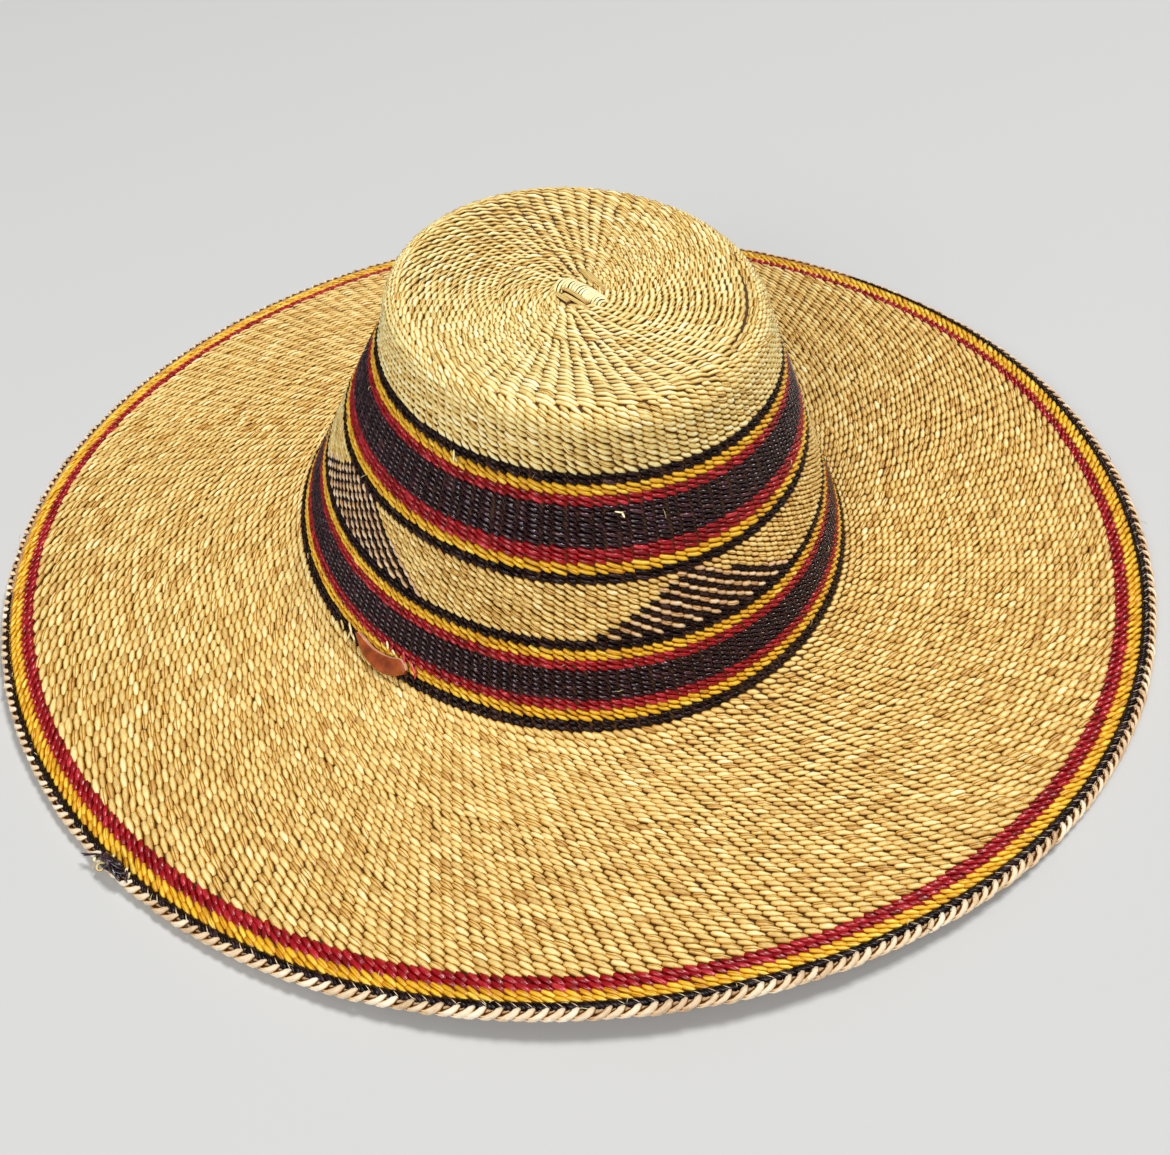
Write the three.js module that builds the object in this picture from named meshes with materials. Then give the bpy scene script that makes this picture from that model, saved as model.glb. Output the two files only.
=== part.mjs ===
// Wide-brimmed woven straw hat, resting on its brim on a flat surface.
// Millimetres, +Z up. The origin is on the surface, under the middle of the whole outline.
// -Y is the side nearest the viewer in the photograph, +X is the viewer's right.
//
// The whole hat is one wall of twined straw. A point of its outer surface is given by
// its distance along the wall from the middle of the tip (measured on the mean section)
// and its direction around the hat. Each solid below is a stretch of that wall.
import * as THREE from 'three';

// Wall and gaps
const WALL = 2.2;
const GAP = 0.3;
const AROUND = 64;

// How the hat stands: it leans on the lowest points of its wavy rim
const REST_TILT_DEG = 1.3;
const FOOT_HEIGHT = 6.0;

// The crown is oval, its long axis turned a little from the Y axis
const OVAL_TURN_DEG = 99.4;

// Mean sections of the crown, from the middle of the tip down to its foot.
// radius: mean radius; height: above the foot; oval: long axis over short axis;
// shift: how far the section's middle is shifted to +X.
const CROWN_SECTIONS = [
  { name: 'tip_middle', radius: 0, height: 76.8, oval: 1.2, shift: 2.6 },
  { name: 'tip_inner', radius: 18, height: 76.9, oval: 1.2, shift: 2.5 },
  { name: 'tip_dish', radius: 36, height: 77.8, oval: 1.2, shift: 2.4 },
  { name: 'tip_outer', radius: 50, height: 79.7, oval: 1.21, shift: 2.2 },
  { name: 'crest', radius: 58, height: 80.6, oval: 1.22, shift: 2.1 },
  { name: 'shoulder', radius: 63.2, height: 77.4, oval: 1.22, shift: 2.2 },
  { name: 'under_shoulder', radius: 65.2, height: 71.0, oval: 1.2, shift: 2.6 },
  { name: 'upper_band_top', radius: 67.4, height: 63.5, oval: 1.18, shift: 3.0 },
  { name: 'upper_band_middle', radius: 74.0, height: 50.6, oval: 1.18, shift: 2.3 },
  { name: 'upper_band_foot', radius: 81.0, height: 37.2, oval: 1.18, shift: 1.6 },
  { name: 'lower_band_top', radius: 89.4, height: 20.1, oval: 1.18, shift: 0.9 },
  { name: 'above_foot', radius: 96.2, height: 7.0, oval: 1.18, shift: 0.3 },
  { name: 'foot', radius: 100.3, height: 1.0, oval: 1.18, shift: 0 },
  { name: 'brim_root', radius: 106.5, height: -0.9, oval: 1.18, shift: 0 },
];

// The rim, one row every 22.5 degrees from +X counter-clockwise.
// radius: outermost edge; height: underside of the rim above the surface.
const RIM_STATIONS = [
  { radius: 191.1, height: 2.2 },
  { radius: 191.6, height: 4.1 },
  { radius: 192.5, height: 3.2 },
  { radius: 192.8, height: 2.5 },
  { radius: 192.3, height: 3.2 },
  { radius: 191.3, height: 2.7 },
  { radius: 190.0, height: 0.6 },
  { radius: 188.8, height: 0.0 },
  { radius: 188.2, height: 1.4 },
  { radius: 188.6, height: 1.4 },
  { radius: 189.7, height: 0.0 },
  { radius: 190.8, height: 1.2 },
  { radius: 191.3, height: 4.9 },
  { radius: 191.3, height: 4.9 },
  { radius: 191.1, height: 1.7 },
  { radius: 190.9, height: 0.1 },
];
const BRIM_DROOP = 1.25;

// Stripes, as widths along the wall
const BLACK_ROWS = 3.4;
const RIM_BRAID_WIDTH = 2.6;
const RIM_BRAID_HEIGHT = 3.4;
const RIM_STRIPES_WIDTH = 8.2;

// The crease pressed into the tip beside its right-hand shoulder
const CREASE = { radius: 52.5, width: 2.6, depth: 2.4, middleDeg: -18, reachDeg: 34 };

// Leather tab at the foot of the crown, and the knot of straw ends on the rim
const TAB = { azimuthDeg: 234.5, width: 18, drop: 8.2, thickness: 1.5, lift: 0.6, aboveFoot: 6.4 };
const KNOT = { azimuthDeg: 229.5, length: 12, width: 7, height: 3.0, inFromEdge: 3.7 };

const RED = new THREE.Color(0.5, 0.03, 0.06);
const DARK_PURPLE = new THREE.Color(0.06, 0.025, 0.035);
const GOLDEN = new THREE.Color(0.75, 0.42, 0.06);
const NATURAL = new THREE.Color(0.76, 0.55, 0.28);
const PALE_NATURAL = new THREE.Color(0.8, 0.64, 0.32);
const LEATHER_BROWN = new THREE.Color(0.3, 0.07, 0.015);

const TURN = 2 * Math.PI;
const rad = THREE.MathUtils.degToRad;
const lerp = THREE.MathUtils.lerp;

// Smooth curve through equally spaced values
function throughPoints(p0, p1, p2, p3, t) {
  const bend1 = (p2 - p0) / 2;
  const bend2 = (p3 - p1) / 2;
  const t2 = t * t;
  const t3 = t2 * t;
  return (2 * t3 - 3 * t2 + 1) * p1 + (t3 - 2 * t2 + t) * bend1
    + (3 * t2 - 2 * t3) * p2 + (t3 - t2) * bend2;
}

// One column of the rim table, smoothly interpolated around the hat
function rimValue(column, theta) {
  const count = RIM_STATIONS.length;
  const at = (((theta / TURN) % 1) + 1) % 1 * count;
  const first = Math.floor(at) % count;
  const pick = (k) => RIM_STATIONS[(first + k + count) % count][column];
  return throughPoints(pick(-1), pick(0), pick(1), pick(2), at - Math.floor(at));
}

// The mean section as a fine chain of points with the distance along it
function chainOfSections(sections, stepsPerSpan) {
  const chain = [];
  const last = sections.length - 1;
  const pick = (k, column) => sections[Math.min(Math.max(k, 0), last)][column];
  let along = 0;
  for (let span = 0; span < last; span += 1) {
    const stop = span === last - 1 ? stepsPerSpan : stepsPerSpan - 1;
    for (let step = 0; step <= stop; step += 1) {
      const t = step / stepsPerSpan;
      const point = {};
      for (const column of ['radius', 'height', 'oval', 'shift']) {
        point[column] = throughPoints(pick(span - 1, column), pick(span, column),
          pick(span + 1, column), pick(span + 2, column), t);
      }
      if (chain.length > 0) {
        const before = chain[chain.length - 1];
        along += Math.hypot(point.radius - before.radius, point.height - before.height);
      }
      point.along = along;
      if (step === 0) {
        sections[span].along = along;
      }
      chain.push(point);
    }
  }
  sections[last].along = along;
  return chain;
}

const CHAIN = chainOfSections(CROWN_SECTIONS, 12);
const distanceTo = (name) => CROWN_SECTIONS.find((row) => row.name === name).along;
const BRIM_ROOT = distanceTo('brim_root');
const MEAN_RIM_RADIUS = RIM_STATIONS.reduce((sum, row) => sum + row.radius, 0) / RIM_STATIONS.length;
const ROOT_RADIUS = CROWN_SECTIONS[CROWN_SECTIONS.length - 1].radius;
const BRIM_WIDTH = MEAN_RIM_RADIUS - ROOT_RADIUS;
const RIM = BRIM_ROOT + BRIM_WIDTH;

function crownSection(along) {
  let k = 1;
  while (k < CHAIN.length - 1 && CHAIN[k].along < along) {
    k += 1;
  }
  const a = CHAIN[k - 1];
  const b = CHAIN[k];
  const t = (along - a.along) / (b.along - a.along);
  return {
    radius: lerp(a.radius, b.radius, t),
    height: lerp(a.height, b.height, t),
    oval: lerp(a.oval, b.oval, t),
    shift: lerp(a.shift, b.shift, t),
  };
}

// How deep the tip's crease is at a mean radius and direction
function creaseDepth(radius, theta) {
  let off = theta - rad(CREASE.middleDeg);
  off = Math.atan2(Math.sin(off), Math.cos(off));
  const reach = Math.max(0, 1 - (off / rad(CREASE.reachDeg)) ** 2);
  const across = (radius - CREASE.radius) / CREASE.width;
  return CREASE.depth * reach * Math.exp(-across * across);
}

// A point of an oval crown ring, turned with the hat onto its resting points
function crownPoint(section, theta) {
  const turned = theta - rad(OVAL_TURN_DEG);
  const stretch = Math.sqrt(section.oval);
  const reach = section.radius / Math.hypot(Math.cos(turned) / stretch, Math.sin(turned) * stretch);
  const x = section.shift + reach * Math.cos(theta);
  const y = reach * Math.sin(theta);
  const z = section.height - creaseDepth(section.radius, theta);
  const tilt = rad(REST_TILT_DEG);
  return new THREE.Vector3(
    x * Math.cos(tilt) + z * Math.sin(tilt),
    y,
    FOOT_HEIGHT + z * Math.cos(tilt) - x * Math.sin(tilt),
  );
}

// The outer surface: crown rings first, then the brim from its root to the wavy rim
function outerPoint(along, theta) {
  if (along <= BRIM_ROOT) {
    return crownPoint(crownSection(along), theta);
  }
  const root = crownPoint(crownSection(BRIM_ROOT), theta);
  const share = (along - BRIM_ROOT) / BRIM_WIDTH;
  const rimRadius = rimValue('radius', theta);
  const rimHeight = rimValue('height', theta) + RIM_BRAID_HEIGHT / 2 + WALL / 2;
  return new THREE.Vector3(
    lerp(root.x, rimRadius * Math.cos(theta), share),
    lerp(root.y, rimRadius * Math.sin(theta), share),
    lerp(root.z, rimHeight, share ** BRIM_DROOP),
  );
}

// A point under the outer surface, square to it
function wallPoint(along, theta, depth) {
  const here = outerPoint(along, theta);
  if (depth === 0) {
    return here;
  }
  const small = 0.4;
  const turn = 0.01;
  const from = Math.max(along - small, 0.05);
  const ahead = outerPoint(from + 2 * small, theta).sub(outerPoint(from, theta));
  const aside = outerPoint(Math.max(along, 1), theta + turn)
    .sub(outerPoint(Math.max(along, 1), theta - turn));
  const normal = ahead.cross(aside).normalize();
  return here.addScaledVector(normal, -depth);
}

// Turns a chain of (along, depth) stations into a solid around the hat.
// The lathe gives the connected rings, and each vertex then goes to its place in the wall.
function ringSolid(stations, around = AROUND) {
  const upwards = [...stations].reverse();
  const profile = upwards.map(() => new THREE.Vector2(1, 0));
  const geometry = new THREE.LatheGeometry(profile, around);
  const position = geometry.attributes.position;
  for (let column = 0; column <= around; column += 1) {
    const theta = (column % around) / around * TURN;
    upwards.forEach((station, row) => {
      const p = station.pole
        ? wallPoint(0, 0, station.depth)
        : wallPoint(station.along, theta, station.depth);
      position.setXYZ(column * upwards.length + row, p.x, p.y, p.z);
    });
  }
  return finished(geometry);
}

function finished(geometry) {
  geometry.deleteAttribute('normal');
  geometry.deleteAttribute('uv');
  geometry.computeVertexNormals();
  return geometry;
}

// Stations up the inside of a stretch of wall and down its outside
function wallLoop(from, to, steps) {
  const inside = [];
  const outside = [];
  for (let k = 0; k <= steps; k += 1) {
    const along = lerp(from + GAP / 2, to - GAP / 2, k / steps);
    outside.push({ along, depth: 0 });
    inside.unshift({ along, depth: WALL });
  }
  return [...outside, ...inside, outside[0]];
}

// The tip's stations: out from the middle over the outside, back along the inside
function tipChain(rows) {
  const outside = rows.map((along) => ({ along, depth: 0 }));
  const inside = rows.map((along) => ({ along, depth: WALL })).reverse();
  return [{ pole: true, depth: 0 }, ...outside, ...inside, { pole: true, depth: WALL }];
}

function mesh(name, geometry, color, roughness) {
  const material = new THREE.MeshStandardMaterial({ color, roughness, metalness: 0 });
  const piece = new THREE.Mesh(geometry, material);
  piece.name = name;
  return piece;
}

const UPPER_BAND_TOP = distanceTo('upper_band_top');
const UPPER_BAND_FOOT = distanceTo('upper_band_foot');
const LOWER_BAND_TOP = distanceTo('lower_band_top') - BLACK_ROWS;
const LOWER_BAND_FOOT = distanceTo('foot');
const STRIPES_START = RIM - RIM_BRAID_WIDTH - RIM_STRIPES_WIDTH;
const STRIPES_END = RIM - RIM_BRAID_WIDTH;

// Crown tip with the natural rows down to the upper band
const TIP_ROWS = [9, 22, 35, 45, 49.6, 52.6, 55.6, 60, 64, 68, 73, UPPER_BAND_TOP - GAP / 2];
const crownTip = mesh('crown_tip', ringSolid(tipChain(TIP_ROWS)), PALE_NATURAL, 0.7);

const upperBand = mesh('upper_band',
  ringSolid(wallLoop(UPPER_BAND_TOP, UPPER_BAND_FOOT, 3)), DARK_PURPLE, 0.5);
const middleBelt = mesh('middle_belt',
  ringSolid(wallLoop(UPPER_BAND_FOOT, LOWER_BAND_TOP, 2)), NATURAL, 0.7);
const lowerBand = mesh('lower_band',
  ringSolid(wallLoop(LOWER_BAND_TOP, LOWER_BAND_FOOT, 3)), DARK_PURPLE, 0.5);
const brim = mesh('brim', ringSolid(wallLoop(LOWER_BAND_FOOT, STRIPES_START, 8)), NATURAL, 0.7);
const rimStripes = mesh('rim_stripes',
  ringSolid(wallLoop(STRIPES_START, STRIPES_END, 2)), GOLDEN, 0.5);

// Rim braid: a rounded cord whose outer edge is the hat's outline
const BRAID_SIDES = 8;
function braidLoop() {
  const stations = [];
  const middle = RIM - RIM_BRAID_WIDTH / 2;
  for (let k = 0; k <= BRAID_SIDES; k += 1) {
    const turn = (k % BRAID_SIDES + 0.5) / BRAID_SIDES * TURN;
    stations.push({
      along: middle + (RIM_BRAID_WIDTH / 2 - GAP / 2) * Math.cos(turn) / Math.cos(Math.PI / BRAID_SIDES),
      depth: WALL / 2 + RIM_BRAID_HEIGHT / 2 * Math.sin(turn) / Math.cos(Math.PI / BRAID_SIDES),
    });
  }
  return stations;
}
const rimBraid = mesh('rim_braid', ringSolid(braidLoop(), AROUND), NATURAL, 0.75);

// A thin closed patch that follows the wall. place(u, v, layer) gives its points: u runs
// from -1 to 1 across it, v from 0 to 1 down it, and layer is 0 below and 1 above.
function patchSolid(place, columns, rows) {
  const vertices = [];
  const index = [];
  const at = (layer, i, j) => layer * (columns + 1) * (rows + 1) + j * (columns + 1) + i;
  for (const layer of [0, 1]) {
    for (let j = 0; j <= rows; j += 1) {
      for (let i = 0; i <= columns; i += 1) {
        const p = place(2 * i / columns - 1, j / rows, layer);
        vertices.push(p.x, p.y, p.z);
      }
    }
  }
  const quad = (a, b, c, d) => index.push(a, b, c, a, c, d);
  for (let j = 0; j < rows; j += 1) {
    for (let i = 0; i < columns; i += 1) {
      quad(at(1, i, j), at(1, i, j + 1), at(1, i + 1, j + 1), at(1, i + 1, j));
      quad(at(0, i, j), at(0, i + 1, j), at(0, i + 1, j + 1), at(0, i, j + 1));
    }
  }
  for (let i = 0; i < columns; i += 1) {
    quad(at(0, i, 0), at(1, i, 0), at(1, i + 1, 0), at(0, i + 1, 0));
    quad(at(0, i + 1, rows), at(1, i + 1, rows), at(1, i, rows), at(0, i, rows));
  }
  for (let j = 0; j < rows; j += 1) {
    quad(at(0, 0, j + 1), at(1, 0, j + 1), at(1, 0, j), at(0, 0, j));
    quad(at(0, columns, j), at(1, columns, j), at(1, columns, j + 1), at(0, columns, j + 1));
  }
  const geometry = new THREE.BufferGeometry();
  geometry.setAttribute('position', new THREE.Float32BufferAttribute(vertices, 3));
  geometry.setIndex(index);
  geometry.computeVertexNormals();
  return geometry;
}

const TAB_END = 0.4;
// Half width of a tab with a straight top edge and a rounded lower end
function tabHalfWidth(v) {
  return TAB.width / 2 * Math.sqrt(1 - (1 - TAB_END * TAB_END) * v ** 2.4);
}

const TAB_CLEAR = 0.7;
const TAB_TOP = LOWER_BAND_FOOT - TAB.aboveFoot;
const TAB_RADIUS = outerPoint(TAB_TOP + TAB.drop / 2, rad(TAB.azimuthDeg)).setZ(0).length();
const leatherTab = mesh('leather_tab', patchSolid((u, v, layer) => {
  const theta = rad(TAB.azimuthDeg) + u * tabHalfWidth(v) / TAB_RADIUS;
  const off = TAB.lift * (1 - v) + TAB_CLEAR + layer * TAB.thickness;
  return wallPoint(TAB_TOP + v * TAB.drop, theta, -off);
}, 8, 6), LEATHER_BROWN, 0.45);

// The knot lies over the rim stripes as a low mound
const KNOT_EDGE = 0.2;
const KNOT_CLEAR = 1.2;
const KNOT_HALF_TURN = KNOT.length / 2 / MEAN_RIM_RADIUS;
const frayedKnot = mesh('frayed_knot', patchSolid((u, v, layer) => {
  const w = 2 * v - 1;
  const theta = rad(KNOT.azimuthDeg) + u * Math.sqrt(1 - w * w / 2) * KNOT_HALF_TURN;
  const along = RIM - KNOT.inFromEdge + w * Math.sqrt(1 - u * u / 2) * KNOT.width / 2;
  const dome = Math.max(KNOT_EDGE, 1 - u * u) * Math.max(KNOT_EDGE, 1 - w * w);
  return wallPoint(along, theta, -(KNOT_CLEAR + layer * KNOT.height * dome));
}, 8, 6), DARK_PURPLE, 0.5);

const hat = new THREE.Group();
hat.name = 'woven_straw_hat';
hat.add(crownTip, upperBand, middleBelt, lowerBand, brim, rimStripes, rimBraid, leatherTab, frayedKnot);

// The origin goes to the middle of the outline, at the level of the lowest point
const extent = new THREE.Box3().setFromObject(hat, true);
const middle = extent.getCenter(new THREE.Vector3());
hat.position.set(-middle.x, -middle.y, -extent.min.z);

export default hat;
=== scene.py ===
import math

import bpy
import numpy as np
from mathutils import Matrix, Vector


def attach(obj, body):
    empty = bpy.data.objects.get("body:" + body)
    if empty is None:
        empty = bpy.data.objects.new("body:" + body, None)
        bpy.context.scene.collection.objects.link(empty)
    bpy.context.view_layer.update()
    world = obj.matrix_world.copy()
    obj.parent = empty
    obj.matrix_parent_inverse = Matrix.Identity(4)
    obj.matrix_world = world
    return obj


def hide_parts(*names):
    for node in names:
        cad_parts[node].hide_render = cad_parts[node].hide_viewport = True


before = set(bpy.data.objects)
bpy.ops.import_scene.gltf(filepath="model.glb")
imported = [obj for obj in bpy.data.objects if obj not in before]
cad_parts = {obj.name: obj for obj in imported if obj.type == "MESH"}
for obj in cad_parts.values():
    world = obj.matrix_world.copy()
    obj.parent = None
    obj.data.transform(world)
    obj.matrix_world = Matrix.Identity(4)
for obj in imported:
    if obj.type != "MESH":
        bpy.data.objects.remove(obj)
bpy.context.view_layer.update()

# Wide-brimmed hat of twined straw, built stitch by stitch on its packed wall.
# Sizes are in millimetres here and become metres when a mesh is made.
MM = 0.001
TURN = 2 * math.pi

# The wall, as the solids have it
WALL = 2.2
REST_TILT = math.radians(1.3)
FOOT_HEIGHT = 6.0
OVAL_TURN = math.radians(99.4)
ORIGIN_SHIFT = np.array((1.5, 0.5, 0.0))

# Mean sections of the crown: name, radius, height above the foot, oval, shift to +X
CROWN_SECTIONS = (
    ("tip_middle", 0, 76.8, 1.2, 2.6),
    ("tip_inner", 18, 76.9, 1.2, 2.5),
    ("tip_dish", 36, 77.8, 1.2, 2.4),
    ("tip_outer", 50, 79.7, 1.21, 2.2),
    ("crest", 58, 80.6, 1.22, 2.1),
    ("shoulder", 63.2, 77.4, 1.22, 2.2),
    ("under_shoulder", 65.2, 71.0, 1.2, 2.6),
    ("upper_band_top", 67.4, 63.5, 1.18, 3.0),
    ("upper_band_middle", 74.0, 50.6, 1.18, 2.3),
    ("upper_band_foot", 81.0, 37.2, 1.18, 1.6),
    ("lower_band_top", 89.4, 20.1, 1.18, 0.9),
    ("above_foot", 96.2, 7.0, 1.18, 0.3),
    ("foot", 100.3, 1.0, 1.18, 0),
    ("brim_root", 106.5, -0.9, 1.18, 0),
)

# The rim every 22.5 degrees from +X: outermost radius, height of its underside
RIM_STATIONS = (
    (191.1, 2.2), (191.6, 4.1), (192.5, 3.2), (192.8, 2.5),
    (192.3, 3.2), (191.3, 2.7), (190.0, 0.6), (188.8, 0.0),
    (188.2, 1.4), (188.6, 1.4), (189.7, 0.0), (190.8, 1.2),
    (191.3, 4.9), (191.3, 4.9), (191.1, 1.7), (190.9, 0.1),
)
BRIM_DROOP = 1.25
RIM_BRAID_HEIGHT = 3.4
RIM_BRAID_WIDTH = 2.6
RIM_STRIPES_WIDTH = 8.2
BLACK_ROWS = 3.4
# How the edge rolls down at the back and at the left: azimuth, degrees at the very edge,
# and how far the brim's outer part is lifted over it there
EDGE_ROLL = (
    (0, 10, 0), (20, 36, 0), (40, 64, 0.2), (60, 82, 0.3), (90, 88, 0.5), (112, 84, 0.9), (135, 74, 1.8),
    (157, 66, 2.2), (180, 56, 1.4), (200, 42, 1.0), (220, 26, 0.6), (240, 10, 0.2), (255, 0, 0),
    (345, 0, 0), (360, 10, 0),
)
ROLL_WIDTH = 4.4
# The crease just behind the right shoulder: radius in its middle, how much more at its
# ends, width, depth, azimuth of its middle and half its reach around the tip
CREASE_RADIUS, CREASE_BEND, CREASE_WIDTH, CREASE_DEPTH = 56.0, 4.5, 2.1, 1.0
CREASE_MIDDLE, CREASE_REACH = math.radians(-14), math.radians(50)


def through_points(p0, p1, p2, p3, t):
    """Smooth curve through equally spaced values."""
    bend1, bend2 = (p2 - p0) / 2, (p3 - p1) / 2
    t2, t3 = t * t, t * t * t
    return ((2 * t3 - 3 * t2 + 1) * p1 + (t3 - 2 * t2 + t) * bend1
            + (3 * t2 - 2 * t3) * p2 + (t3 - t2) * bend2)


def smooth_path(points, steps=3):
    """A finer list of points or rows, on a smooth curve through the given ones."""
    last = len(points) - 1
    made = []
    for span in range(last):
        pick = [points[min(max(span + k, 0), last)] for k in (-1, 0, 1, 2)]
        made += [through_points(*pick, step / steps) for step in range(steps)]
    return np.array(made + [points[last]])


def section_chain(steps=12):
    """The mean section as a fine chain, with the distance along it from the tip's middle."""
    chain = smooth_path(np.array([row[1:] for row in CROWN_SECTIONS], float), steps)
    lengths = np.hypot(*np.diff(chain[:, :2], axis=0).T)
    along = np.concatenate(((0.0,), np.cumsum(lengths)))
    marks = {row[0]: along[k * steps] for k, row in enumerate(CROWN_SECTIONS)}
    return along, chain, marks


CHAIN_ALONG, CHAIN, MARKS = section_chain()
BRIM_ROOT = MARKS["brim_root"]
MEAN_RIM = sum(radius for radius, _ in RIM_STATIONS) / len(RIM_STATIONS)
BRIM_WIDTH = MEAN_RIM - CROWN_SECTIONS[-1][1]
RIM = BRIM_ROOT + BRIM_WIDTH


def rim_value(column, theta):
    values = np.array([row[column] for row in RIM_STATIONS])
    at = (theta / TURN) % 1 * len(values)
    first = np.floor(at).astype(int)
    pick = [values[(first + k) % len(values)] for k in (-1, 0, 1, 2)]
    return through_points(*pick, at - first)


def by_azimuth(table, theta, column=1):
    """A column of a table at these angles; its first column is the azimuth in degrees."""
    rows = np.array(table)
    return np.interp(np.degrees(theta) % 360, rows[:, 0], rows[:, column])


def crease_share(radius, theta):
    """How deep a place lies in the crease, 0 to 1."""
    off = theta - CREASE_MIDDLE
    off = np.arctan2(np.sin(off), np.cos(off)) / CREASE_REACH
    away = (radius - CREASE_RADIUS - CREASE_BEND * off ** 2) / CREASE_WIDTH
    return np.maximum(0, 1 - off ** 2) * np.exp(-away ** 2)


def crown_point(along, theta):
    radius, height, oval, shift = (np.interp(along, CHAIN_ALONG, CHAIN[:, k]) for k in range(4))
    turned = theta - OVAL_TURN
    stretch = np.sqrt(oval)
    reach = radius / np.hypot(np.cos(turned) / stretch, np.sin(turned) * stretch)
    crease = CREASE_DEPTH * crease_share(radius, theta)
    x = shift + reach * np.cos(theta)
    y = reach * np.sin(theta)
    z = height - crease
    c, s = math.cos(REST_TILT), math.sin(REST_TILT)
    return np.stack((x * c + z * s, y, FOOT_HEIGHT + z * c - x * s), -1)


def outer_point(along, theta):
    """A point of the hat's outer surface, in millimetres."""
    along, theta = np.broadcast_arrays(np.asarray(along, float), np.asarray(theta, float))
    crown = crown_point(np.minimum(along, BRIM_ROOT), theta)
    share = np.clip((along - BRIM_ROOT) / BRIM_WIDTH, 0, None)[..., None]
    radius = rim_value(0, theta)
    height = rim_value(1, theta) + RIM_BRAID_HEIGHT / 2 + WALL / 2
    rim = np.stack((radius * np.cos(theta), radius * np.sin(theta), height), -1)
    brim = crown + (rim - crown) * share
    brim[..., 2] = crown[..., 2] + (rim[..., 2] - crown[..., 2]) * share[..., 0] ** BRIM_DROOP
    most = np.radians(by_azimuth(EDGE_ROLL, theta)) + 1e-6
    past = np.maximum(0, along - (RIM - ROLL_WIDTH))
    rolled = most * past / ROLL_WIDTH
    back = past - np.sin(rolled) / most * ROLL_WIDTH
    drop = (1 - np.cos(rolled)) / most * ROLL_WIDTH
    brim[..., 0] -= back * np.cos(theta)
    brim[..., 1] -= back * np.sin(theta)
    brim[..., 2] += by_azimuth(EDGE_ROLL, theta, 2) * np.clip(share[..., 0], 0, 1) ** 2 - drop
    return np.where(share > 0, brim, crown) - ORIGIN_SHIFT


def unit(v):
    return v / np.linalg.norm(v, axis=-1, keepdims=True)


# Steps for directions on the wall
SMALL_STEP, SMALL_TURN = 0.4, 0.01


def wall_frame(along, theta):
    """Point of the outer surface, and the directions down the wall, around it and outward."""
    start = np.maximum(along - SMALL_STEP, 0.05)
    down = outer_point(start + 2 * SMALL_STEP, theta) - outer_point(start, theta)
    wide = np.maximum(along, 1.0)
    around = outer_point(wide, theta + SMALL_TURN) - outer_point(wide, theta - SMALL_TURN)
    return outer_point(along, theta), unit(down), unit(around), unit(np.cross(down, around))


# Where the colours change, as distances along the wall
CORE_EDGE = 7.0
CREST = MARKS["crest"]
UPPER_BAND_TOP = MARKS["upper_band_top"]
UPPER_BAND_FOOT = MARKS["upper_band_foot"]
LOWER_BAND_TOP = MARKS["lower_band_top"] - BLACK_ROWS
FOOT = MARKS["foot"]
STRIPES_START = RIM - RIM_BRAID_WIDTH - RIM_STRIPES_WIDTH
STRIPES_END = RIM - RIM_BRAID_WIDTH

# How the warps divide on the way out: from, to, number of columns between them, and
# in groups of how many columns the last is wider: its share of the group's width at
# the start and at the end, where it is parted into two
SHOULDER_SPLIT = 60.5
BRIM_SPLIT = 183.0
WARP_STAGES = (
    (0, 11, 18, 1, 1, 1),
    (11, 26, 36, 1, 1, 1),
    (26, SHOULDER_SPLIT, 72, 1, 1, 1),
    (SHOULDER_SPLIT, UPPER_BAND_FOOT, 140, 2, 0.56, 0.6),
    (UPPER_BAND_FOOT, LOWER_BAND_TOP + 8, 192, 6, 0.167, 0.22),
    (LOWER_BAND_TOP + 8, FOOT, 204, 2, 0.5, 0.56),
    (FOOT, BRIM_SPLIT, 190, 1, 1, 1),
    (BRIM_SPLIT, STRIPES_START, 250, 1, 1, 1),
    (STRIPES_START, RIM, 400, 1, 1, 1),
)

# The brim's warps stand closer together in front than behind: azimuth, closeness
WARP_CLOSENESS = (
    (0, 0.95), (12, 0.88), (60, 0.84), (134, 0.82), (168, 0.92), (200, 0.86), (216, 0.88), (233, 1.18),
    (250, 1.26), (262, 1.26), (275, 1.18), (290, 1.16), (303, 1.1), (321, 1.07), (346, 1.04), (360, 0.95),
)
# How much more the brim's warps lean there: azimuth, slope
BRIM_LEAN = (
    (0, 0.22), (12, 0.18), (60, 0.1), (134, 0.06), (168, -0.08), (200, 0.0), (216, 0.0), (233, -0.16),
    (250, -0.2), (262, -0.12), (286, -0.04), (303, 0.1), (321, 0.15), (346, 0.26), (360, 0.22),
)

# How far the warps lean from the straight way out, as a slope: distance along, slope
WARP_LEAN = (
    (0, 0.3), (8, 0.3), (16, 0.22), (30, 0.12), (45, 0.08), (60, 0.02), (80, 0.08),
    (125, 0.02), (150, 0.2), (160, 0.27), (185, 0.2), (215, 0.17), (240, 0.17),
)

# How steeply the stitches lie against their column's diagonal: azimuth, share of its slope
BRIM_SLANT = (
    (0, 0.85), (12, 1.0), (60, 1.1), (134, 1.1), (168, 1.0), (200, 0.73), (214, 0.75), (233, 0.88),
    (249, 0.9), (260, 0.85), (272, 0.9), (286, 0.88), (303, 0.97), (321, 0.74), (346, 0.74), (360, 0.85),
)
TIP_SLANT = (
    (0, 0.5), (60, 0.95), (96, 1.18), (150, 0.95), (185, 0.76), (210, 0.76), (240, 0.95), (271, 1.16),
    (305, 0.9), (338, 0.36), (360, 0.5),
)


def band_courses(piece, purple, lower_red, end):
    """Rows of a coloured band, from its upper black line to its lower one."""
    dyes = (("black", 2), ("gold", 2), ("red", 2), ("purple", purple), ("red", lower_red), ("gold", 2))
    return [(piece, dye, count, 1, None) for dye, count in dyes] + [(piece, "black", 2, 1, end)]


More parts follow.
